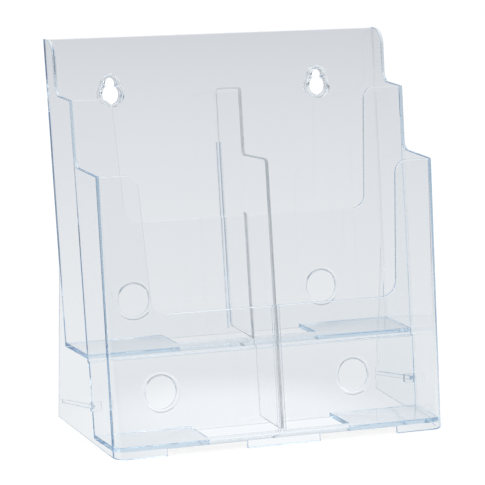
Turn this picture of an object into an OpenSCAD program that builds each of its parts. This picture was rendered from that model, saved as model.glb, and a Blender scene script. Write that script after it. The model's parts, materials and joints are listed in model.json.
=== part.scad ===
// Two-tier leaflet and magazine rack in clear plastic, with a lift-out centre divider.
// +Z is up, +X is to the viewer's right and the pockets face -Y. The origin is the middle of the
// rack's base. All sheets lean back by the same angle, so the divider slides between them.

/* [Overall] */
// outside width at the front foot
width = 238; // [200:1:320]
// height of the back panel's top edge
height = 263; // [240:1:340]
// sheet thickness
wall = 2.4; // [1.8:0.1:4]
// lean of every sheet from upright, degrees
lean = 10.1; // [6:0.1:14]
// how far each side opens out towards the rear, degrees
splay_back = 1.26; // [0:0.02:2]
// how far each side opens out towards the top, degrees
splay_up = 0.39; // [0:0.01:1]

/* [Lower pocket] */
// clear depth between the front and the pocket's back, square to the sheets
lower_depth = 41.1; // [20:0.1:60]
// top of the lower pocket's floor at its rear edge
lower_floor = 6.4; // [5.5:0.1:20]
// top of the front panel's ears
lower_ear = 183.8; // [150:0.1:220]
// height of the front cut-out's rim
lower_rim = 92.6; // [60:0.1:130]
// radius of the front cut-out's two lower corners
lower_cut_r = 11; // [4:0.5:20]
// radius of the front panel's ears
lower_ear_r = 9.5; // [3:0.5:15]

/* [Upper pocket] */
// clear depth between the middle panel and the back panel, square to the sheets
upper_depth = 43.9; // [20:0.1:60]
// top of the upper pocket's floor at its rear edge
upper_floor = 57.4; // [45:0.1:90]
// top of the middle panel's ears
upper_ear = 227.3; // [200:0.1:240]
// height of the middle cut-out's rim
upper_rim = 144.8; // [110:0.1:180]
// radius of the middle cut-out's two lower corners
upper_cut_r = 9.5; // [4:0.5:20]
// radius of the middle panel's ears
upper_ear_r = 8; // [3:0.5:15]

/* [Cut-outs] */
// half the width of both cut-outs at the rim
cut_half = 88; // [60:0.5:100]
// how far each side of a cut-out opens out towards the top, degrees
cut_taper = 3.1; // [0:0.1:6]
// half the width of the window in each floor
window_half = 51.4; // [30:0.1:80]
// depth of the upper floor's strip in front of its window
upper_strip = 14; // [4:0.5:25]
// depth of the lower floor's strip in front of its window
lower_strip = 8; // [4:0.5:25]
// diameter of the round windows
round_d = 22.4; // [10:0.1:30]
// distance of the round windows from the middle
round_x = 70.9; // [60:0.1:90]
// height of the round windows in the back panel
upper_round_z = 82.4; // [70:0.1:110]
// height of the round windows behind the lower pocket
lower_round_z = 30.5; // [20:0.1:45]

/* [Floors and feet] */
// thickness of both floors
floor_t = 3.2; // [2:0.1:5]
// rise of both floors towards the front, degrees
floor_tilt = 2; // [0:0.1:4]
// height of the three feet below the front panel
foot_h = 4.8; // [3:0.1:5]
// inner end of the left and right feet, from the middle
foot_x = 83.2; // [70:0.1:100]
// half the width of the centre foot
centre_foot_half = 26.3; // [10:0.1:50]
// outside radius of the front corners at the base
corner_r = 9; // [4:0.5:14]

/* [Side panels] */
// depth of the flange in front of the back panel
flange_w = 16.2; // [8:0.1:30]
// radius of the flange's top corner
flange_r = 10; // [3:0.5:16]
// radius of the hollow corners where the sides step down
step_r = 6.5; // [2:0.5:10]
// rear end of the sides on the ground, from the front foot
leg_y = 122; // [112:0.5:150]
// height where the legs leave the back panel
leg_join = 111; // [70:1:130]

/* [Stand rails] */
// how far each rail stands in from its side panel
rail_w = 2.6; // [1.5:0.1:6]
// thickness of the rails
rail_t = 2.8; // [1.5:0.1:5]
// height of the rails' rear ends
rail_z = 14.5; // [8:0.1:30]
// gap between the rails' rear ends and the rear of the legs
rail_gap = 7; // [2:0.5:20]
// length of the stop at the front end of each rail
stop_w = 7; // [4:0.1:15]
// thickness of the stop
stop_t = 3.4; // [2:0.1:6]

/* [Keyholes] */
// distance of the keyholes from the middle
key_x = 77.6; // [60:0.1:100]
// height of the round part
key_z = 223.9; // [190:0.1:250]
// diameter of the round part, which a screw's head goes through
key_d = 13.8; // [10:0.1:18]
// width of the slot above it, which hangs on the screw
slot_d = 8.8; // [5:0.1:10]
// distance from the round part's centre to the slot's centre
slot_up = 7.5; // [5:0.1:12]
// wall around the hole
boss_wall = 2.4; // [1.5:0.1:4]
// how far the boss stands out behind the back panel
boss_rear = 4.5; // [0:0.1:10]
// how far the boss stands proud of the front face
boss_front = 0.8; // [0.2:0.1:2]

/* [Divider] */
// thickness of the divider
divider_t = 2.2; // [1.5:0.1:4]
// gap between the divider and every sheet that it meets
divider_gap = 0.4; // [0.2:0.1:1]
// height of the divider's rear top corner
divider_top = 224.8; // [200:0.1:240]
// rise of the divider's top edge towards the front
top_rise = 6.5; // [0:0.1:12]
// height of the divider's step
divider_step = 186; // [160:0.1:210]
// rise of the step towards the front
step_rise = 3.4; // [0:0.1:8]
// radius of the divider's corners
divider_r = 3.5; // [1:0.1:8]
// clearance of the divider's feet above the floors
divider_lift = 1; // [0.5:0.1:4]
// height of the rear guide's top
rear_guide_top = 187.6; // [120:0.1:200]
// thickness of each guide rib
rib_t = 1.2; // [0.8:0.1:2.5]
// depth of each guide rib
rib_w = 2.8; // [1.5:0.1:5]
// gap between the divider and the ribs on each side of it
rib_gap = 0.3; // [0.2:0.1:1]

/* [Hidden] */
$fn = 64;
rise = tan(lean);
sheet = wall / cos(lean);              // a sheet's thickness measured along Y
// where each sheet's front face meets the ground
front_y = 0;
low_back_y = front_y + sheet + lower_depth / cos(lean);
middle_y = low_back_y + sheet;
back_y = middle_y + sheet + upper_depth / cos(lean);
depth = face(back_y, height) + sheet;  // the top rear edge is the rearmost point
far = width;                           // longer than any half of the rack
top_corner_r = 0.5;                    // the front corners sharpen towards the top
floor_rise = tan(floor_tilt);
ledge = upper_floor - floor_t + 1.2;   // top edge of the lower pocket's back
lap = 2;                               // overlap of the middle panel behind it
colour = [0.84, 0.88, 0.92, 0.45];

// Y of a leaning face at height z, from where it meets the ground
function face(y0, z) = y0 + z * rise;
// distance along a leaning sheet for a height
function up(z) = z / cos(lean);
// height of a floor's top at y, from its height at its rear edge
function floor_at(z_rear, y_rear, y) = z_rear + (y_rear - y) * floor_rise;
// height of a floor's top where it meets the sheet in front of it
function floor_front(y_front, y_rear, z_rear) = floor_at(z_rear, y_rear, y_front + sheet);

// puts the origin in the middle of the base
module placed() translate([0, -depth / 2, 0]) color(colour) children();

// a drawing of X and distance up the sheet becomes a leaning sheet, its front face at y0
module leaning(y0, from = -wall, to = 0)
    translate([0, y0, 0]) rotate([90 - lean, 0, 0])
        translate([0, 0, from]) linear_extrude(to - from) children();

// a side view drawing of Y and Z, from x0 to x1
module across(x0, x1)
    translate([x0, 0, 0]) rotate([90, 0, 90]) linear_extrude(x1 - x0) children();

// one level of the space between the sides, its front corners rounded
module level(z, inset, front_inset, r)
{
    y0 = face(front_y, z) + front_inset / cos(lean);
    half_front = width / 2 - inset + z * tan(splay_up) + y0 * tan(splay_back);
    half_rear = half_front + far * tan(splay_back);
    translate([0, 0, z]) linear_extrude(0.01) offset(r = r) offset(delta = -r)
        polygon([[-half_front, y0], [half_front, y0], [half_rear, y0 + far],
                 [-half_rear, y0 + far]]);
}

// the space between the two sides and behind the front, inset from their outer faces
module room(inset, front_inset, r_base = 0.01, r_top = 0.01)
    hull()
    {
        level(-1, inset, front_inset, r_base);
        level(height + 1, inset, front_inset, r_top);
    }

module inside() room(wall, wall);
module between_corners() room(corner_r, -wall);
module rounded_outside() room(0, 0, corner_r, top_corner_r);
module rounded_inside() room(wall, wall, corner_r - wall, top_corner_r / 2);

// a leaning panel with a cut-out that is open at the top
module cut_panel(y0, z_base, z_ear, z_rim, cut_r, ear_r)
{
    opening_top = up(z_ear) + ear_r;
    half_top = cut_half + (opening_top - up(z_rim)) * tan(cut_taper);
    leaning(y0) offset(r = ear_r) offset(delta = -ear_r)
        offset(r = -cut_r) offset(delta = cut_r) difference()
        {
            translate([-far, up(z_base)]) square([2 * far, up(z_ear) - up(z_base)]);
            polygon([[-cut_half, up(z_rim)], [cut_half, up(z_rim)],
                     [half_top, opening_top], [-half_top, opening_top]]);
        }
}

// the keyhole's outline, grown by a margin
module keyhole(margin = 0)
    translate([key_x, up(key_z)])
    {
        circle(d = key_d + 2 * margin);
        translate([0, slot_up]) circle(d = slot_d + 2 * margin);
    }

// both sides are drawn on +X and the left one is mirrored
module on_side(side) if (side < 0) mirror([1, 0, 0]) children(); else children();

module back_panel()
    intersection()
    {
        leaning(back_y) difference()
        {
            translate([-far, up(upper_floor) - floor_t])
                square([2 * far, up(height) - up(upper_floor) + floor_t]);
            for (side = [-1, 1])
                on_side(side)
                {
                    keyhole(boss_wall);
                    translate([round_x, up(upper_round_z)]) circle(d = round_d);
                }
        }
        inside();
    }

module side_outline()
{
    flange_y = back_y - flange_w / cos(lean);
    corner = (corner_r + wall) / cos(lean);
    low_front = front_y + corner;
    offset(r = -step_r) offset(delta = step_r)
    {
        polygon([[low_front, 0], [face(low_front, lower_ear), lower_ear],
                 [face(middle_y, lower_ear), lower_ear], [face(middle_y, upper_ear), upper_ear],
                 [face(back_y, upper_ear) + sheet, upper_ear],
                 [face(back_y, leg_join) + sheet, leg_join], [leg_y, 0]]);
        intersection()
        {
            offset(r = flange_r) offset(delta = -flange_r)
                polygon([[face(flange_y, lower_ear), lower_ear],
                         [face(flange_y, height), height], [far, height], [far, lower_ear]]);
            polygon([[0, upper_ear - 1], [0, height],
                     [face(back_y, height) + sheet, height],
                     [face(back_y, upper_ear - 1) + sheet, upper_ear - 1]]);
        }
    }
}

module side_panel(side)
    on_side(side) difference()
    {
        intersection()
        {
            across(0, far) side_outline();
            room(0, 0);
        }
        inside();
    }

// the rounded corner strip between a side and the front panel
module front_corner(side)
{
    back_line = front_y + (corner_r + wall) / cos(lean);
    on_side(side) difference()
    {
        intersection()
        {
            across(0, far) polygon([[-1, 0], [back_line, 0],
                                    [face(back_line, lower_ear), lower_ear], [-1, lower_ear]]);
            rounded_outside();
        }
        rounded_inside();
        between_corners();
    }
}

module upper_front_panel()
    intersection()
    {
        cut_panel(middle_y, ledge - lap, upper_ear, upper_rim, upper_cut_r, upper_ear_r);
        inside();
    }

module lower_front_panel()
    intersection()
    {
        cut_panel(front_y, foot_h, lower_ear, lower_rim, lower_cut_r, lower_ear_r);
        between_corners();
    }

module lower_back_panel()
    intersection()
    {
        leaning(low_back_y) difference()
        {
            translate([-far, up(lower_floor) - floor_t])
                square([2 * far, up(ledge) - up(lower_floor) + floor_t]);
            for (side = [-1, 1])
                translate([side * round_x, up(lower_round_z)]) circle(d = round_d);
        }
        inside();
    }

// a floor between two sheets, with a window that reaches back to the rear one
module shelf(y_front, y_rear, z_rear, strip)
{
    front = y_front + sheet;
    rear = face(y_rear, z_rear);
    z_front = floor_front(y_front, y_rear, z_rear);
    difference()
    {
        intersection()
        {
            across(-far, far)
                polygon([[face(front, z_front), z_front], [rear, z_rear],
                         [face(y_rear, z_rear - floor_t), z_rear - floor_t],
                         [face(front, z_front - floor_t), z_front - floor_t]]);
            rounded_inside();
        }
        translate([-window_half, face(front, z_rear) + strip, z_rear - 2 * floor_t])
            cube([2 * window_half, far, 4 * floor_t]);
    }
}

module upper_shelf() shelf(middle_y, back_y, upper_floor, upper_strip);
module lower_shelf() shelf(front_y, low_back_y, lower_floor, lower_strip);

// a foot hangs below the front panel, in the same plane
module foot(x0, x1)
    intersection()
    {
        leaning(front_y) translate([x0, -wall]) square([x1 - x0, up(foot_h) + wall]);
        between_corners();
        translate([-far, -far, 0]) cube(2 * far);
    }

// a rail square to the sheets, with a stop at its front end behind the lower pocket
module stand_rail(side)
{
    rear = leg_y - rail_gap;
    front = (low_back_y + sheet + rise * (rail_z + rear * rise)) / (1 + rise * rise);
    front_z = rail_z + (rear - front) * rise;
    thick = rail_t / cos(lean);
    on_side(side)
    {
        difference()
        {
            intersection()
            {
                across(0, far) polygon([[front, front_z], [rear, rail_z],
                                        [rear, rail_z - thick],
                                        [face(front, -thick), front_z - thick]]);
                inside();
            }
            room(wall + rail_w, 0);
        }
        difference()
        {
            intersection()
            {
                across(0, far)
                    translate([front, front_z]) rotate(-lean)
                        translate([0, -rail_t - stop_t / 2]) square([stop_t, rail_t + stop_t]);
                inside();
            }
            room(wall + stop_w, 0);
        }
    }
}

module keyhole_boss(side)
    on_side(side) leaning(back_y, -wall - boss_rear, boss_front)
        difference()
        {
            keyhole(boss_wall);
            keyhole();
        }

// two ribs that the divider's edge slides between, from offsets off a sheet's front face
module guide(y0, from, to, z0, z1)
    for (side = [-1, 1])
        on_side(side) leaning(y0, from, to)
            translate([divider_t / 2 + rib_gap, up(z0)]) square([rib_t, up(z1) - up(z0)]);

module rear_divider_guide() guide(back_y, 0, rib_w, upper_floor + divider_lift, rear_guide_top);
module front_divider_guide()
    guide(front_y, -wall - rib_w, -wall,
          floor_front(front_y, low_back_y, lower_floor) + (wall + rib_w) * sin(lean),
          lower_rim - rib_t);

// a stepped plate that straddles the middle panel and hangs on its rim
module divider()
{
    gap = divider_gap / cos(lean);
    front = front_y + sheet + gap;
    rear = back_y - gap;
    low_foot = floor_at(lower_floor, low_back_y, front) + divider_lift;
    up_foot = floor_at(upper_floor, back_y, middle_y) + divider_lift;
    step_front = divider_step + step_rise;
    across(-divider_t / 2, divider_t / 2) difference()
    {
        offset(r = divider_r) offset(delta = -divider_r)
            offset(r = -divider_r) offset(delta = divider_r)
            polygon([[face(front, low_foot), low_foot], [face(front, step_front), step_front],
                     [face(middle_y, divider_step), divider_step],
                     [face(middle_y, divider_top + top_rise), divider_top + top_rise],
                     [face(rear, divider_top), divider_top],
                     [face(rear, low_foot), low_foot]]);
        // clears the lower pocket's back, the middle panel and the upper floor
        polygon([[face(low_back_y - gap, -1), -1],
                 [face(low_back_y - gap, ledge + divider_gap), ledge + divider_gap],
                 [face(middle_y - gap, ledge + divider_gap), ledge + divider_gap],
                 [face(middle_y - gap, upper_rim + divider_gap), upper_rim + divider_gap],
                 [face(middle_y + sheet + gap, upper_rim + divider_gap),
                  upper_rim + divider_gap],
                 [face(middle_y + sheet + gap, up_foot), up_foot],
                 [face(far, up_foot), up_foot], [far, -1]]);
    }
}

placed() back_panel();
placed() side_panel(-1);  // left_side_panel
placed() side_panel(1);  // right_side_panel
placed() front_corner(-1);  // left_front_corner
placed() front_corner(1);  // right_front_corner
placed() upper_front_panel();
placed() lower_front_panel();
placed() lower_back_panel();
placed() upper_shelf();
placed() lower_shelf();
placed() foot(-width / 2, -foot_x);  // left_foot
placed() foot(-centre_foot_half, centre_foot_half);  // centre_foot
placed() foot(foot_x, width / 2);  // right_foot
placed() stand_rail(-1);  // left_stand_rail
placed() stand_rail(1);  // right_stand_rail
placed() keyhole_boss(-1);  // left_keyhole_boss
placed() keyhole_boss(1);  // right_keyhole_boss
placed() rear_divider_guide();
placed() front_divider_guide();
placed() divider();
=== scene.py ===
import json
import math

import bmesh
import bpy
from mathutils import Matrix, Vector
from mathutils.geometry import delaunay_2d_cdt


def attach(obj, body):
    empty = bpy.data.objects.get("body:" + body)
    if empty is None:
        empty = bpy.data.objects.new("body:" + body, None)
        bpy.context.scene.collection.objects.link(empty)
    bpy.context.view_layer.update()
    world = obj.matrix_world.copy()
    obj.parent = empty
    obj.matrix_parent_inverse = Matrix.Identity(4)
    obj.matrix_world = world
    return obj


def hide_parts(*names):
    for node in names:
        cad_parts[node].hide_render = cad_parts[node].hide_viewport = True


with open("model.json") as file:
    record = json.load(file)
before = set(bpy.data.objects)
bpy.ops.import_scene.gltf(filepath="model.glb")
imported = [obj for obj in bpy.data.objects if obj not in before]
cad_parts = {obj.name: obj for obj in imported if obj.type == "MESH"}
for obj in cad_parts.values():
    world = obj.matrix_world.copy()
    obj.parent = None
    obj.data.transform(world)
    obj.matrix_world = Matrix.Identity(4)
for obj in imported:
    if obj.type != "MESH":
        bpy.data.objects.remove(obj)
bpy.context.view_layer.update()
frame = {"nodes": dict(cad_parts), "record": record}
scene = bpy.context.scene
print("frame loaded:", len(frame["nodes"]), "nodes")

mm = 0.001

# shared by every sheet of the rack, in millimetres and degrees; y runs back from the front foot
rack = {
    "width": 238.0,        # outside width at the front foot
    "height": 263.0,
    "wall": 2.4,
    "lean": 10.1,
    "splayBack": 1.26,
    "splayUp": 0.39,
    "middle": 71.47,       # from the front foot back to the middle of the base
    "lowBack": 44.18,      # where each sheet's front face meets the ground
    "middleSheet": 46.62,
    "backSheet": 93.65,
    "bite": 1.2,           # how far a sheet runs into the one that it joins
    "rim": 0.6,            # radius of the rounded rims
    "rimSteps": 3,
}
rise = math.tan(math.radians(rack["lean"]))
cosLean = math.cos(math.radians(rack["lean"]))
sinLean = math.sin(math.radians(rack["lean"]))
tanBack = math.tan(math.radians(rack["splayBack"]))
tanUp = math.tan(math.radians(rack["splayUp"]))
sheetDepth = rack["wall"] / cosLean      # a sheet's thickness along Y


# x of the right side's outer face
def sideAt(y, z):
    return rack["width"] / 2 + z * tanUp + y * tanBack


def placed(x, y, z):
    return Vector((x * mm, (y - rack["middle"]) * mm, z * mm))


# corners are (u, v, radius); each corner with a radius becomes an arc
def roundedPath(corners, steps=8):
    path = []
    for i, (u, v, radius) in enumerate(corners):
        here = Vector((u, v))
        if radius <= 0:
            path.append(here)
            continue
        back = (Vector(corners[i - 1][:2]) - here).normalized()
        ahead = (Vector(corners[(i + 1) % len(corners)][:2]) - here).normalized()
        half = back.angle(ahead) / 2
        reach = radius / math.tan(half)
        centre = here + (back + ahead).normalized() * (radius / math.sin(half))
        first = here + back * reach - centre
        last = here + ahead * reach - centre
        turn = math.atan2(first.x * last.y - first.y * last.x, first.dot(last))
        for k in range(steps + 1):
            path.append(centre + Matrix.Rotation(turn * k / steps, 2) @ first)
    return path


# a right half that runs from the bottom middle to the top middle is closed over the left
def mirroredPath(half):
    return half + [Vector((-p.x, p.y)) for p in reversed(half) if abs(p.x) > 1e-6]


def circlePath(centre, radius, steps=48):
    return [Vector((centre[0] + radius * math.cos(2 * math.pi * k / steps),
                    centre[1] + radius * math.sin(2 * math.pi * k / steps))) for k in range(steps)]


def signedArea(path):
    return sum(a.x * b.y - b.x * a.y for a, b in zip(path, path[1:] + path[:1])) / 2


# moves a closed path to its left
def insetPath(path, inset):
    moved = []
    count = len(path)
    for i in range(count):
        before = (path[i] - path[i - 1]).normalized()
        after = (path[(i + 1) % count] - path[i]).normalized()
        left1, left2 = Vector((-before.y, before.x)), Vector((-after.y, after.x))
        moved.append(path[i] + (left1 + left2) * (inset / (1 + left1.dot(left2))))
    return moved


# a closed sheet with rounded rims: place(u, v, depth) puts it in the frame, and creases are pairs
# of outline points that its faces bend along
def sheetMesh(name, outline, holes, place, thickness, rim, creases=(), holeRims=()):
    loops = []
    rims = [rim] + (list(holeRims) or [rim] * len(holes))
    for i, path in enumerate([outline] + list(holes)):
        ccw = signedArea(path) > 0
        loops.append(path if ccw == (i == 0) else path[::-1])
    steps = rack["rimSteps"]
    rounds = []
    for k in range(steps + 1):
        angle = math.pi / 2 * (1 - k / steps)
        rounds.append((1 - math.cos(angle), 1 - math.sin(angle), 0))
    rounds += [(a, -b, 1) for a, b, _ in reversed(rounds)]

    mesh = bmesh.new()
    rimShare = mesh.faces.layers.float.new("rim")
    rings = []
    for inset, depth, far in rounds:
        ring = []
        for path, loopRim in zip(loops, rims):
            level = far * thickness + depth * loopRim
            moved = insetPath(path, inset * loopRim)
            ring.append([mesh.verts.new(place(p.x, p.y, level)) for p in moved])
        rings.append(ring)
    for near, far in zip(rings, rings[1:]):
        for a, b in zip(near, far):
            count = len(a)
            for i in range(count):
                j = (i + 1) % count
                mesh.faces.new((a[i], b[i], b[j], a[j]))[rimShare] = 1.0

    flat, edges, start = [], [], 0
    for path, loopRim in zip(loops, rims):
        count = len(path)
        flat += insetPath(path, loopRim)
        edges += [(start + i, start + (i + 1) % count) for i in range(count)]
        start += count
    order = {tuple(round(c, 4) for c in p): i for i, p in enumerate(loops[0])}
    for p, q in creases:
        edges.append((order[tuple(round(c, 4) for c in p)], order[tuple(round(c, 4) for c in q)]))
    points, _, faces, sources, _, _ = delaunay_2d_cdt(flat, edges, [], 1, 1e-5)
    pick = [s[0] if s else None for s in sources]
    openings = [insetPath(path, loopRim) for path, loopRim in zip(loops[1:], rims[1:])]
    inside = []
    for face in faces:
        centre = sum((points[i] for i in face), Vector((0, 0))) / len(face)
        if not any(crossings(centre, path) % 2 for path in openings):
            inside.append([pick[i] for i in face])
    for depthRing, flip in ((rings[0], False), (rings[-1], True)):
        verts = [v for loop in depthRing for v in loop]
        for face in inside:
            ids = face[::-1] if flip else face
            mesh.faces.new([verts[i] for i in ids])
    bmesh.ops.recalc_face_normals(mesh, faces=mesh.faces)
    result = bpy.data.meshes.new(name)
    mesh.to_mesh(result)
    mesh.free()
    return result


# how many edges of a closed path lie to the right of a point
def crossings(point, path):
    count = 0
    for a, b in zip(path, path[1:] + path[:1]):
        if (a.y > point.y) != (b.y > point.y):
            if point.x < a.x + (point.y - a.y) * (b.x - a.x) / (b.y - a.y):
                count += 1
    return count


# a drawing of x and distance up the sheet goes onto the sheet that starts at sheetY
def leaningPlace(sheetY):
    def place(u, v, depth):
        return placed(u, sheetY + v * sinLean + depth * cosLean, v * cosLean - depth * sinLean)
    return place


# x where a sheet ends inside the side panel
def sheetSide(sheetY, v):
    return sideAt(sheetY + v * sinLean, v * cosLean) - rack["bite"]


solids = []


def addSolid(name, mesh):
    solid = bpy.data.objects.new(name, mesh)
    scene.collection.objects.link(solid)
    solids.append(solid)
    return solid


# the faint marks that a mould leaves: a patchy haze and a long soft waviness
def makeMouldMarks():
    group = bpy.data.node_groups.new("mouldMarks", "ShaderNodeTree")
    face = group.interface
    for title, value in (("Mark Size", 60.0), ("Wave Size", 14.0), ("Polish", 0.0), ("Haze", 0.02)):
        face.new_socket(title, in_out="INPUT", socket_type="NodeSocketFloat").default_value = value
    for title in ("Roughness", "Height"):
        face.new_socket(title, in_out="OUTPUT", socket_type="NodeSocketFloat")
    given = group.nodes.new("NodeGroupInput").outputs
    out = group.nodes.new("NodeGroupOutput").inputs
    place = group.nodes.new("ShaderNodeTexCoord").outputs["Object"]
    marks, waves = (group.nodes.new("ShaderNodeTexNoise") for _ in range(2))
    marks.inputs["Detail"].default_value = 4.0
    waves.inputs["Detail"].default_value = 1.0
    for noise, size in ((marks, "Mark Size"), (waves, "Wave Size")):
        group.links.new(place, noise.inputs["Vector"])
        group.links.new(given[size], noise.inputs["Scale"])
    mask = group.nodes.new("ShaderNodeMapRange")
    mask.inputs["From Min"].default_value = 0.5
    mask.inputs["From Max"].default_value = 0.75
    group.links.new(marks.outputs["Fac"], mask.inputs["Value"])
    haze = group.nodes.new("ShaderNodeMath")
    haze.operation = "MULTIPLY_ADD"
    group.links.new(mask.outputs["Result"], haze.inputs[0])
    group.links.new(given["Haze"], haze.inputs[1])
    group.links.new(given["Polish"], haze.inputs[2])
    group.links.new(haze.outputs["Value"], out["Roughness"])
    group.links.new(waves.outputs["Fac"], out["Height"])
    return group


# places the group in a material with its own values, its waviness as a bump
def addMouldMarks(tree, shader, values, wave):
    marks = tree.nodes.new("ShaderNodeGroup")
    marks.node_tree = mouldMarks
    for title, value in values.items():
        marks.inputs[title].default_value = value
    bump = tree.nodes.new("ShaderNodeBump")
    bump.inputs["Strength"].default_value = 1.0
    bump.inputs["Distance"].default_value = wave
    tree.links.new(marks.outputs["Height"], bump.inputs["Height"])
    tree.links.new(marks.outputs["Roughness"], shader.inputs["Roughness"])
    tree.links.new(bump.outputs["Normal"], shader.inputs["Normal"])
    return marks


# blue is the colour that long paths through the plastic take on, and edge is how much rougher
# the rounded rims are than the flat faces
plastics = {
    "clearBody": {"blue": (0.0, 0.40, 0.68, 1), "density": 7.0, "edge": 0.16},
    "clearDivider": {"blue": (0.3, 0.42, 0.5, 1), "density": 5.0, "edge": 0.3},
}
plasticMarks = {"Mark Size": 90.0, "Wave Size": 16.0, "Haze": 0.012}
plasticWave = 0.00002      # metres


def makePlastic(name):
    look = plastics[name]
    plastic = bpy.data.materials.new(name)
    plastic.use_nodes = True
    tree = plastic.node_tree
    shader = tree.nodes["Principled BSDF"]
    shader.inputs["Base Color"].default_value = (1, 1, 1, 1)
    shader.inputs["IOR"].default_value = 1.5
    shader.inputs["Transmission Weight"].default_value = 1.0
    marks = addMouldMarks(tree, shader, plasticMarks, plasticWave)
    rim = tree.nodes.new("ShaderNodeAttribute")
    rim.attribute_name = "rim"
    rough = tree.nodes.new("ShaderNodeMath")
    rough.operation = "MULTIPLY_ADD"
    rough.inputs[1].default_value = look["edge"]
    tree.links.new(rim.outputs["Fac"], rough.inputs[0])
    tree.links.new(marks.outputs["Roughness"], rough.inputs[2])
    tree.links.new(rough.outputs["Value"], shader.inputs["Roughness"])
    absorb = tree.nodes.new("ShaderNodeVolumeAbsorption")
    absorb.inputs["Color"].default_value = look["blue"]
    absorb.inputs["Density"].default_value = look["density"]
    tree.links.new(absorb.outputs["Volume"], tree.nodes["Material Output"].inputs["Volume"])
    return plastic


mouldMarks = makeMouldMarks()
bodyPlastic = makePlastic("clearBody")
dividerPlastic = makePlastic("clearDivider")
print("plastics made")


frontWall = {
    "ear": 183.8, "earR": 9.5,
    "rimZ": 92.6, "cutHalf": 88.0, "cutR": 11.0, "taper": 3.1,
    "footH": 4.8, "footX": 83.2, "centreFoot": 26.3,
    "cornerBase": 9.0, "cornerTop": 0.5,
    "step": 227.3, "stepR": 6.5, "flangeW": 16.2, "flangeR": 10.0,
    "legY": 122.0, "legJoin": 111.0,
    "bendStart": 105.0, "arcStart": 110.0, "arcEnd": 120.0, "sideStart": 130.0, "sideFrom": 12.0,
    "arcSteps": 10, "innerLeast": 0.25,
}


def cornerRadius(z):
    below, above = 1, 1      # the radius runs from just below the base to just above the top
    share = (z + below) / (rack["height"] + below + above)
    return frontWall["cornerBase"] + (frontWall["cornerTop"] - frontWall["cornerBase"]) * share


# u runs along the wall from the middle of the front, round the corner and back
def wallPoint(u, z, depth):
    w = frontWall
    front = z * rise
    radius = cornerRadius(z)
    frontIn = depth / cosLean
    bend = math.radians(rack["splayBack"])
    corner = sideAt(front, z)
    centreX = corner + radius * tanBack - radius / math.cos(bend)
    centreY = front + radius
    if u <= w["bendStart"]:
        return u, front + frontIn
    if u <= w["arcStart"]:
        t = (u - w["bendStart"]) / (w["arcStart"] - w["bendStart"])
        return w["bendStart"] + (centreX - w["bendStart"]) * t, front + frontIn
    if u <= w["arcEnd"]:
        t = (u - w["arcStart"]) / (w["arcEnd"] - w["arcStart"])
        angle = -math.pi / 2 + (math.pi / 2 - bend) * t
        inner = max(radius - depth, w["innerLeast"])
        shift = radius - depth - inner
        x = centreX + shift + inner * math.cos(angle)
        y = centreY + inner * math.sin(angle) + (depth + inner - radius)
        return x, y + (frontIn - depth) * (1 - t)
    sideX = lambda y: sideAt(y, z) - depth
    arcY = centreY - (radius - depth) * math.sin(bend)
    if u <= w["sideStart"]:
        t = (u - w["arcEnd"]) / (w["sideStart"] - w["arcEnd"])
        y = arcY + (front + w["sideFrom"] - arcY) * t
        return sideX(y), y
    y = front + w["sideFrom"] + (u - w["sideStart"])
    return sideX(y), y


def wallPlace(u, z, depth):
    x, y = wallPoint(abs(u), z, depth)
    return placed(math.copysign(x, u), y, z)


# u of a point q behind the front face
def wallU(q):
    return frontWall["sideStart"] + q - frontWall["sideFrom"]


def makeFrontWall():
    w = frontWall
    stations = [w["bendStart"], w["arcStart"]]
    stations += [w["arcStart"] + (w["arcEnd"] - w["arcStart"]) * k / w["arcSteps"]
                 for k in range(1, w["arcSteps"])]
    stations += [w["arcEnd"], w["sideStart"]]
    rear = rack["backSheet"] + sheetDepth
    flange = rack["backSheet"] - w["flangeW"] / cosLean
    earX = w["cutHalf"] + (w["ear"] - w["rimZ"]) / cosLean * math.tan(math.radians(w["taper"]))
    corners = [(0, 0, 0), (w["centreFoot"], 0, 0), (w["centreFoot"], w["footH"], 0),
               (w["footX"], w["footH"], 0), (w["footX"], 0, 0)]
    corners += [(u, 0, 0) for u in stations]
    corners += [(wallU(w["legY"]), 0, 0), (wallU(rear), w["legJoin"], 0),
                (wallU(rear), rack["height"], 0),
                (wallU(flange), rack["height"], w["flangeR"]), (wallU(flange), w["step"], w["stepR"]),
                (wallU(rack["middleSheet"]), w["step"], 0),
                (wallU(rack["middleSheet"]), w["ear"], w["stepR"])]
    corners += [(u, w["ear"], 0) for u in reversed(stations)]
    corners += [(earX, w["ear"], w["earR"]), (w["cutHalf"], w["rimZ"], w["cutR"]), (0, w["rimZ"], 0)]
    half = roundedPath(corners)
    creases = []
    for u in stations:
        for side in (1, -1):
            creases.append((Vector((side * u, 0)), Vector((side * u, w["ear"]))))
    mesh = sheetMesh("frontWall", mirroredPath(half), [], wallPlace, rack["wall"], rack["rim"], creases)
    addSolid("frontWall", mesh)


makeFrontWall()
print("front wall and sides made")

backSheet = {
    "bottom": 57.4, "floorT": 3.2,
    "windowD": 22.4, "windowX": 70.9, "windowZ": 82.4, "windowRim": 0.3,
    "keyX": 77.6, "keyZ": 223.9, "keyD": 13.8, "slotD": 8.8, "slotUp": 7.5,
    "bossWall": 2.4, "bossRear": 4.5, "bossFront": 0.8, "bossRim": 0.5, "keyRim": 0.3,
    "shy": 0.01,           # keeps its faces off the ends of the sides
}


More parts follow.
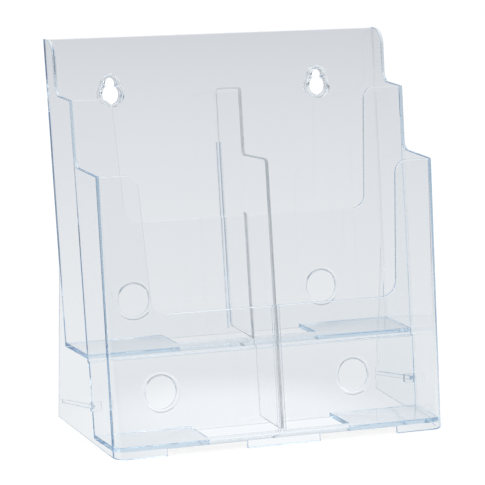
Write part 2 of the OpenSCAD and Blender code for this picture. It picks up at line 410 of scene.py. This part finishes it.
# the outline of a large circle with a smaller one above it
def keyholePath(x, margin, steps=40):
    k = backSheet
    big, small = k["keyD"] / 2 + margin, k["slotD"] / 2 + margin
    up = k["keyZ"] / cosLean
    # where the two circles cross
    along = (big ** 2 - small ** 2 + k["slotUp"] ** 2) / (2 * k["slotUp"])
    across = math.sqrt(big ** 2 - along ** 2)
    startBig = math.atan2(along, across)
    startSmall = math.atan2(along - k["slotUp"], across)
    path = []
    for i in range(steps + 1):
        angle = math.pi - startBig + (math.pi + 2 * startBig) * i / steps
        path.append(Vector((x + big * math.cos(angle), up + big * math.sin(angle))))
    half = steps // 2
    for i in range(1, half):
        angle = startSmall + (math.pi - 2 * startSmall) * i / half
        path.append(Vector((x + small * math.cos(angle), up + k["slotUp"] + small * math.sin(angle))))
    return path


# a sheet whose two sides end inside the side panels
def slopedSheet(name, sheetY, low, high, holes, holeRims):
    half = [Vector((0, low)), Vector((sheetSide(sheetY, low), low)),
            Vector((sheetSide(sheetY, high), high)), Vector((0, high))]
    return sheetMesh(name, mirroredPath(half), holes, leaningPlace(sheetY), rack["wall"], rack["rim"],
                     holeRims=holeRims)


def makeBackSheet():
    b = backSheet
    holes, holeRims = [], []
    for side in (1, -1):
        holes.append(keyholePath(side * b["keyX"], b["bossWall"] / 2))
        holes.append(circlePath((side * b["windowX"], b["windowZ"] / cosLean), b["windowD"] / 2))
        holeRims += [b["keyRim"], b["windowRim"]]
    low = b["bottom"] / cosLean - b["floorT"]
    high = rack["height"] / cosLean - b["shy"]
    addSolid("backSheet", slopedSheet("backSheet", rack["backSheet"] - b["shy"], low, high,
                                      holes, holeRims))
    for side, name in ((1, "rightBoss"), (-1, "leftBoss")):
        x = side * b["keyX"]
        place = leaningPlace(rack["backSheet"])
        boss = lambda u, v, depth: place(u, v, depth - b["bossFront"])
        mesh = sheetMesh(name, keyholePath(x, b["bossWall"]), [keyholePath(x, 0)], boss,
                         b["bossFront"] + rack["wall"] + b["bossRear"], b["bossRim"])
        addSolid(name, mesh)


makeBackSheet()
print("back sheet made")

middleSheet = {"ear": 227.3, "earR": 8.0, "rimZ": 144.8, "cutR": 9.5, "ledge": 55.4, "lap": 2.0}
lowBackSheet = {"floor": 6.4, "floorT": 3.2, "windowZ": 30.5}


def makeInnerSheets():
    w, m, b = frontWall, middleSheet, lowBackSheet
    low, ear, rimV = (m["ledge"] - m["lap"]) / cosLean, m["ear"] / cosLean, m["rimZ"] / cosLean
    earX = w["cutHalf"] + (ear - rimV) * math.tan(math.radians(w["taper"]))
    sheetY = rack["middleSheet"]
    half = roundedPath([(0, low, 0), (sheetSide(sheetY, low), low, 0),
                        (sheetSide(sheetY, ear), ear, 0), (earX, ear, m["earR"]),
                        (w["cutHalf"], rimV, m["cutR"]), (0, rimV, 0)])
    addSolid("middleSheet", sheetMesh("middleSheet", mirroredPath(half), [], leaningPlace(sheetY),
                                      rack["wall"], rack["rim"]))
    holes = [circlePath((side * backSheet["windowX"], b["windowZ"] / cosLean), backSheet["windowD"] / 2)
             for side in (1, -1)]
    bottom = b["floor"] / cosLean - b["floorT"]
    addSolid("lowBackSheet", slopedSheet("lowBackSheet", rack["lowBack"], bottom, m["ledge"] / cosLean,
                                         holes, [backSheet["windowRim"]] * 2))


makeInnerSheets()
print("middle sheets made")

floors = {"thick": 3.2, "tilt": 2.0, "window": 51.4, "windowR": 1.0, "rim": 0.5,
          "lower": {"front": 0.0, "rear": 44.18, "z": 6.4, "strip": 8.0, "corner": 7.8},
          "upper": {"front": 46.62, "rear": 93.65, "z": 57.4, "strip": 14.0, "corner": 0.0}}


# each floor has a window that reaches back to the sheet behind it
def makeFloors():
    tilt = math.tan(math.radians(floors["tilt"]))
    for name in ("lower", "upper"):
        f = floors[name]
        rear = f["rear"] + f["z"] * rise
        front = f["front"] + sheetDepth + f["z"] * rise

        def place(u, v, depth, rear=rear, z=f["z"]):
            return placed(u, v, z + (rear - v) * tilt - depth)

        y0, y1 = front - rack["bite"], rear + rack["bite"]
        edge = lambda y: sideAt(y, f["z"]) - rack["bite"]
        window, windowFront = floors["window"], front + f["strip"]
        half = roundedPath([(0, y0, 0), (edge(y0), y0, f["corner"]), (edge(y1), y1, 0),
                            (window, y1, 0), (window, windowFront, floors["windowR"]),
                            (0, windowFront, 0)])
        addSolid(name + "Floor", sheetMesh(name + "Floor", mirroredPath(half), [], place,
                                           floors["thick"], floors["rim"]))


makeFloors()
print("floors made")

rails = {"inward": 2.6, "thick": 2.8, "rearZ": 14.5, "rearY": 115.0, "stopInward": 7.0,
         "stopThick": 3.4, "bite": 0.8, "rim": 0.5}


def makeRails():
    r = rails
    base = rack["lowBack"] + sheetDepth
    front = (base + rise * (r["rearZ"] + r["rearY"] * rise)) / (1 + rise * rise)
    frontZ = r["rearZ"] + (r["rearY"] - front) * rise
    thick = r["thick"] / cosLean
    start, startZ = front - r["bite"], frontZ + r["bite"] * rise
    bar = [Vector((start, startZ - thick)), Vector((r["rearY"], r["rearZ"] - thick)),
           Vector((r["rearY"], r["rearZ"])), Vector((start, startZ))]
    turn = Matrix.Rotation(-math.radians(rack["lean"]), 2)
    low = -r["thick"] - r["stopThick"] / 2
    high = low + r["thick"] + r["stopThick"]
    square = [Vector((-r["bite"], low)), Vector((r["stopThick"], low)),
              Vector((r["stopThick"], high)), Vector((-r["bite"], high))]
    stop = [Vector((front, frontZ)) + turn @ p for p in square]
    for side, tag in ((1, "right"), (-1, "left")):
        for path, inward, name in ((bar, r["inward"], "Rail"), (stop, r["stopInward"], "Stop")):
            def place(u, v, depth, side=side, inward=inward):
                x = sideAt(u, v) - rack["wall"] - inward + depth
                return placed(side * x, u, v)
            addSolid(tag + name, sheetMesh(tag + name, path, [], place, inward + rack["bite"],
                                           r["rim"]))


makeRails()
print("stand rails made")

# a Geometry Nodes tree with named inputs, each (name, socket type, value)
def newTree(name, inputs):
    tree = bpy.data.node_groups.new(name, "GeometryNodeTree")
    for title, kind, value in inputs:
        socket = tree.interface.new_socket(title, in_out="INPUT", socket_type=kind)
        if value is not None:
            socket.default_value = value
    tree.interface.new_socket("Geometry", in_out="OUTPUT", socket_type="NodeSocketGeometry")
    given = tree.nodes.new("NodeGroupInput")

    # adds a node, sets its properties and feeds its inputs from sockets or values
    def add(kind, settings=None, **feeds):
        node = tree.nodes.new(kind)
        for key, value in (settings or {}).items():
            setattr(node, key, value)
        for title, source in feeds.items():
            socket = node.inputs[title.replace("_", " ")]
            if isinstance(source, bpy.types.NodeSocket):
                tree.links.new(source, socket)
            else:
                socket.default_value = source
        return node

    return tree, given.outputs, add


# ends a tree: the row of copies leans with its sheet, then becomes plain geometry
def endTree(tree, given, add, shape, turn):
    row = add("GeometryNodeMeshLine", {"mode": "OFFSET"}, Count=2)
    across = add("ShaderNodeCombineXYZ", X=given["Spacing"])
    half = add("ShaderNodeVectorMath", {"operation": "SCALE"}, Scale=-0.5)
    tree.links.new(across.outputs["Vector"], row.inputs["Offset"])
    tree.links.new(across.outputs["Vector"], half.inputs["Vector"])
    tree.links.new(half.outputs["Vector"], row.inputs["Start Location"])
    copies = add("GeometryNodeInstanceOnPoints", Points=row.outputs["Mesh"], Instance=shape,
                 Rotation=turn)
    back = add("ShaderNodeMath", {"operation": "MULTIPLY"})
    tree.links.new(given["Lean"], back.inputs[0])
    back.inputs[1].default_value = -1.0
    lean = add("ShaderNodeCombineXYZ", X=back.outputs["Value"])
    leant = add("GeometryNodeTransform", Geometry=copies.outputs["Instances"],
                Rotation=lean.outputs["Vector"], Translation=given["Place"])
    real = add("GeometryNodeRealizeInstances", Geometry=leant.outputs["Geometry"])
    dressed = add("GeometryNodeSetMaterial", Geometry=real.outputs["Geometry"],
                  Material=given["Material"])
    end = tree.nodes.new("NodeGroupOutput")
    tree.links.new(dressed.outputs["Geometry"], end.inputs["Geometry"])
    return tree


rowInputs = [("Spacing", "NodeSocketFloat", 0.01), ("Place", "NodeSocketVector", (0, 0, 0)),
             ("Lean", "NodeSocketFloat", 0.0), ("Material", "NodeSocketMaterial", None)]


def makeRibTree():
    tree, given, add = newTree("ribPair", [
        ("Length", "NodeSocketFloat", 0.1), ("Depth", "NodeSocketFloat", 0.003),
        ("Thickness", "NodeSocketFloat", 0.001),
        ("Edge Radius", "NodeSocketFloat", 0.0003)] + rowInputs)
    top = add("ShaderNodeCombineXYZ", Z=given["Length"])
    line = add("GeometryNodeCurvePrimitiveLine", End=top.outputs["Vector"])
    section = add("GeometryNodeCurvePrimitiveQuadrilateral", Width=given["Thickness"],
                  Height=given["Depth"])
    softened = add("GeometryNodeFilletCurve", {"mode": "POLY"}, Curve=section.outputs["Curve"], Count=3,
                   Radius=given["Edge Radius"])
    bar = add("GeometryNodeCurveToMesh", Curve=line.outputs["Curve"], Fill_Caps=True)
    tree.links.new(softened.outputs["Curve"], bar.inputs["Profile Curve"])
    return endTree(tree, given, add, bar.outputs["Mesh"], (0, 0, 0))


def makeBeadTree():
    tree, given, add = newTree("windowBeads", [
        ("Window Radius", "NodeSocketFloat", 0.011),
        ("Bead Radius", "NodeSocketFloat", 0.0014)] + rowInputs)
    circle = add("GeometryNodeCurvePrimitiveCircle", Resolution=72, Radius=given["Window Radius"])
    section = add("GeometryNodeCurvePrimitiveCircle", Resolution=16, Radius=given["Bead Radius"])
    ring = add("GeometryNodeCurveToMesh", Curve=circle.outputs["Curve"])
    tree.links.new(section.outputs["Curve"], ring.inputs["Profile Curve"])
    return endTree(tree, given, add, ring.outputs["Mesh"], (math.pi / 2, 0, 0))


# runs a tree with these inputs and keeps the result as a plain mesh
def grow(name, tree, values):
    holder = bpy.data.objects.new(name, bpy.data.meshes.new(name))
    scene.collection.objects.link(holder)
    nodes = holder.modifiers.new(name, "NODES")
    nodes.node_group = tree
    for socket in tree.interface.items_tree:
        if socket.in_out == "INPUT" and socket.name in values:
            nodes[socket.identifier] = values[socket.name]
    view = bpy.context.evaluated_depsgraph_get()
    mesh = bpy.data.meshes.new_from_object(holder.evaluated_get(view))
    bpy.data.objects.remove(holder)
    return mesh


guides = {"ribT": 1.2, "ribW": 2.8, "gap": 0.3, "dividerT": 2.2, "edge": 0.35, "bite": 0.6,
          "rearLow": 58.4, "rearHigh": 187.6, "frontLow": 7.0, "frontHigh": 91.4}
beads = {"proud": 0.4}       # how far each lip stands out of its sheet


def makeGuides(ribTree):
    g = guides
    for name, sheetY, near, far, low, high in (
            ("rearRibs", rack["backSheet"], -g["ribW"], g["bite"], g["rearLow"], g["rearHigh"]),
            ("frontRibs", 0.0, rack["wall"] - g["bite"], rack["wall"] + g["ribW"],
             g["frontLow"], g["frontHigh"])):
        foot = leaningPlace(sheetY)(0, low / cosLean, (near + far) / 2)
        addSolid(name, grow(name, ribTree, {
            "Length": (high - low) / cosLean * mm, "Depth": (far - near) * mm,
            "Thickness": g["ribT"] * mm, "Edge Radius": g["edge"] * mm,
            "Spacing": (g["dividerT"] + 2 * g["gap"] + g["ribT"]) * mm,
            "Place": foot[:], "Lean": math.radians(rack["lean"]), "Material": bodyPlastic}))


# a rounded lip round each of the round windows
def makeBeads(beadTree):
    for name, sheetY, z in (("upperBeads", rack["backSheet"], backSheet["windowZ"]),
                            ("lowerBeads", rack["lowBack"], lowBackSheet["windowZ"])):
        middle = leaningPlace(sheetY)(0, z / cosLean, rack["wall"] / 2)
        radius = rack["wall"] / 2 + beads["proud"]
        addSolid(name, grow(name, beadTree, {
            "Window Radius": (backSheet["windowD"] / 2 + radius) * mm, "Bead Radius": radius * mm,
            "Spacing": 2 * backSheet["windowX"] * mm, "Place": middle[:],
            "Lean": math.radians(rack["lean"]), "Material": bodyPlastic}))


makeGuides(makeRibTree())
makeBeads(makeBeadTree())
print("guides and beads made")


sharpAngle = 40


# one closed skin with no faces left inside it
def joinSolids(name, parts):
    base = parts[0]
    for part in parts[1:]:
        join = base.modifiers.new("join", "BOOLEAN")
        join.operation = "UNION"
        join.solver = "MANIFOLD"
        join.object = part
    view = bpy.context.evaluated_depsgraph_get()
    mesh = bpy.data.meshes.new_from_object(base.evaluated_get(view))
    for part in parts:
        bpy.data.objects.remove(part)
    mesh.name = name
    for face in mesh.polygons:
        face.use_smooth = True
    mesh.set_sharp_from_angle(angle=math.radians(sharpAngle))
    whole = bpy.data.objects.new(name, mesh)
    scene.collection.objects.link(whole)
    weight = whole.modifiers.new("weight", "WEIGHTED_NORMAL")
    weight.keep_sharp = True
    weight.weight = 100
    view = bpy.context.evaluated_depsgraph_get()
    whole.data = bpy.data.meshes.new_from_object(whole.evaluated_get(view))
    whole.modifiers.clear()
    return whole


body = joinSolids("mouldedBody", solids)
print("moulding joined:", len(body.data.polygons), "faces")

divider = {
    "thick": 2.2, "gap": 0.4, "top": 224.8, "topRise": 6.5, "step": 186.0, "stepRise": 3.4,
    "cornerR": 3.5, "lift": 1.0, "rim": 1.0,
}


def makeDivider():
    d = divider
    gap = d["gap"] / cosLean
    tilt = math.tan(math.radians(floors["tilt"]))
    face = lambda base, z: base + z * rise
    front, rear = sheetDepth + gap, rack["backSheet"] - gap
    lowFoot = floors["lower"]["z"] + (rack["lowBack"] - front) * tilt + d["lift"]
    upFoot = floors["upper"]["z"] + (rack["backSheet"] - rack["middleSheet"]) * tilt + d["lift"]
    ledge = middleSheet["ledge"] + d["gap"]
    slotTop = middleSheet["rimZ"] + d["gap"]
    lowY = rack["lowBack"] - gap
    slotFront, slotRear = rack["middleSheet"] - gap, rack["middleSheet"] + sheetDepth + gap
    stepFront = d["step"] + d["stepRise"]
    r = d["cornerR"]
    corners = [
        (front, lowFoot, r), (lowY, lowFoot, 0), (lowY, ledge, 0), (slotFront, ledge, 0),
        (slotFront, slotTop, 0), (slotRear, slotTop, 0), (slotRear, upFoot, 0), (rear, upFoot, r),
        (rear, d["top"], r), (rack["middleSheet"], d["top"] + d["topRise"], r),
        (rack["middleSheet"], d["step"], r), (front, stepFront, r)]
    path = roundedPath([(face(y, z), z, radius) for y, z, radius in corners])

    def place(u, v, depth):
        return placed(depth - d["thick"] / 2, u, v)

    mesh = sheetMesh("liftOutDivider", path, [], place, d["thick"], d["rim"])
    whole = bpy.data.objects.new("liftOutDivider", mesh)
    scene.collection.objects.link(whole)
    return joinSolids("liftOutDivider", [whole])


plate = makeDivider()
print("divider made")


body.data.materials.clear()
body.data.materials.append(bodyPlastic)
plate.data.materials.clear()
plate.data.materials.append(dividerPlastic)

rackNodes = frame["record"]["behaviour"]["bodies"]["rack"]
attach(body, "rack")
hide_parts(*rackNodes)
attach(plate, "divider")
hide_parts("divider")

studio = {
    "floorSize": 16.0,
    "floorTone": 0.93,
    "marks": {"Mark Size": 30.0, "Wave Size": 6.0, "Polish": 0.85, "Haze": 0.1},
    "wave": 0.0002,
    "ownLight": 0.82,      # share of the floor's tone that no shadow darkens
    # painted light: every ray but the camera's sees the floor glow with this sweep, by distance from
    # the rack; it is a painted pool of light under the rack, a painted shade from about 0.13 m out and
    # a painted falloff of light further away
    "sweepPaintedLight": [(0.0, (1.0, 1.02, 1.04)), (0.016, (0.98, 1.0, 1.02)), (0.033, (0.84, 0.86, 0.88)),
              (0.065, (0.86, 0.875, 0.89)), (0.13, (0.83, 0.845, 0.86)), (0.26, (0.77, 0.785, 0.81)),
              (0.65, (0.63, 0.65, 0.68)), (0.85, (0.36, 0.40, 0.45))],
    "sweepReach": 4.0,
    # sky by height, from level with the eye to overhead
    "sky": [(0.0, (0.10, 0.13, 0.18)), (0.07, (0.36, 0.40, 0.45)), (0.2, (0.76, 0.79, 0.82)),
            (1.0, (1.3, 1.3, 1.3))],
}


def ramp(tree, stops):
    node = tree.nodes.new("ShaderNodeValToRGB")
    elements = node.color_ramp.elements
    while len(elements) < len(stops):
        elements.new(0.5)
    for element, (position, colour) in zip(elements, stops):
        element.position = position
        element.color = (*colour, 1)
    return node


def makeFloor():
    s = studio
    mesh = bpy.data.meshes.new("floor")
    half = s["floorSize"] / 2
    mesh.from_pydata([(-half, -half, 0), (half, -half, 0), (half, half, 0), (-half, half, 0)], [],
                     [(0, 1, 2, 3)])
    floor = bpy.data.objects.new("floor", mesh)
    scene.collection.objects.link(floor)
    paper = bpy.data.materials.new("paleFloor")
    paper.use_nodes = True
    tree = paper.node_tree
    shader = tree.nodes["Principled BSDF"]
    lit = s["floorTone"] * (1 - s["ownLight"])
    shader.inputs["Base Color"].default_value = (lit, lit, lit, 1)
    shader.inputs["Emission Color"].default_value = (1, 1, 1, 1)
    shader.inputs["Emission Strength"].default_value = s["ownLight"]
    addMouldMarks(tree, shader, s["marks"], s["wave"])
    shader.inputs["Specular IOR Level"].default_value = 0.1
    place = tree.nodes.new("ShaderNodeTexCoord")
    reach = tree.nodes.new("ShaderNodeVectorMath")
    reach.operation = "LENGTH"
    tree.links.new(place.outputs["Object"], reach.inputs[0])
    spread = tree.nodes.new("ShaderNodeMapRange")
    spread.inputs["From Max"].default_value = s["sweepReach"]
    tree.links.new(reach.outputs["Value"], spread.inputs["Value"])
    sweepPaintedLight = ramp(tree, s["sweepPaintedLight"])
    tree.links.new(spread.outputs["Result"], sweepPaintedLight.inputs["Fac"])
    # for every ray but the camera's the floor is this glow, painted light and painted shade from no
    # lamp; the camera sees the lit floor
    glow = tree.nodes.new("ShaderNodeEmission")
    tree.links.new(sweepPaintedLight.outputs["Color"], glow.inputs["Color"])
    seen = tree.nodes.new("ShaderNodeLightPath")
    mix = tree.nodes.new("ShaderNodeMixShader")
    tree.links.new(seen.outputs["Is Camera Ray"], mix.inputs["Fac"])
    tree.links.new(glow.outputs["Emission"], mix.inputs[1])
    tree.links.new(shader.outputs["BSDF"], mix.inputs[2])
    tree.links.new(mix.outputs["Shader"], tree.nodes["Material Output"].inputs["Surface"])
    mesh.materials.append(paper)


def makeSky():
    s = studio
    world = bpy.data.worlds.new("studio")
    scene.world = world
    world.use_nodes = True
    tree = world.node_tree
    shade = tree.nodes["Background"]
    place = tree.nodes.new("ShaderNodeTexCoord")
    part = tree.nodes.new("ShaderNodeSeparateXYZ")
    tree.links.new(place.outputs["Generated"], part.inputs["Vector"])
    sky = ramp(tree, s["sky"])
    tree.links.new(part.outputs["Z"], sky.inputs["Fac"])
    tree.links.new(sky.outputs["Color"], shade.inputs["Color"])


# each lamp: where it stands, what it points at, its two sides in metres and its power in watts
lamps = {
    "overhead": ((0.0, 0.2, 2.2), (0, 0, 0), (1.8, 1.8), 14),
    "leftBox": ((-1.6, -0.5, 0.9), (0, 0, 0.12), (0.5, 1.2), 5),
    "rightBox": ((1.5, -1.2, 1.1), (0, 0, 0.12), (0.35, 0.9), 4),
    "keyLamp": ((-0.9, -1.5, 1.7), (0, 0, 0.12), (0.22, 0.22), 4),
}


def makeLamp(name, place, aim, size, power):
    data = bpy.data.lights.new(name, "AREA")
    data.shape = "RECTANGLE"
    data.size, data.size_y = size
    data.energy = power
    lamp = bpy.data.objects.new(name, data)
    lamp.location = place
    lamp.rotation_euler = (Vector(aim) - Vector(place)).to_track_quat("-Z", "Y").to_euler()
    scene.collection.objects.link(lamp)


makeFloor()
makeSky()
for lampName, lampSet in lamps.items():
    makeLamp(lampName, *lampSet)
print("floor, sky and lamps set")

cameraView = {
    "eye": (-0.613105, -1.575957, 0.454819),
    "forward": (0.354014, 0.915497, -0.191154),
    "roll": 0.0052,
    "lens": 185.567,
    "sensor": 36.0,
    "reach": 30,
}
lightBounces = 160        # light runs a long way inside the sheets


def makeCamera(view):
    forward = Vector(view["forward"]).normalized()
    right = forward.cross(Vector((0, 0, 1))).normalized()
    up = right.cross(forward)
    turn = view["roll"]
    tiltedRight = right * math.cos(turn) + up * math.sin(turn)
    tiltedUp = up * math.cos(turn) - right * math.sin(turn)
    data = bpy.data.cameras.new("camera")
    data.lens = view["lens"]
    data.sensor_width = view["sensor"]
    data.clip_end = view["reach"]
    camera = bpy.data.objects.new("camera", data)
    axes = Matrix((tiltedRight, tiltedUp, -forward)).transposed().to_4x4()
    camera.matrix_world = Matrix.Translation(view["eye"]) @ axes
    scene.collection.objects.link(camera)
    scene.camera = camera


makeCamera(cameraView)
for kind in ("max_bounces", "glossy_bounces", "transmission_bounces"):
    setattr(scene.cycles, kind, lightBounces)
scene.view_settings.view_transform = "Standard"
print("camera set")
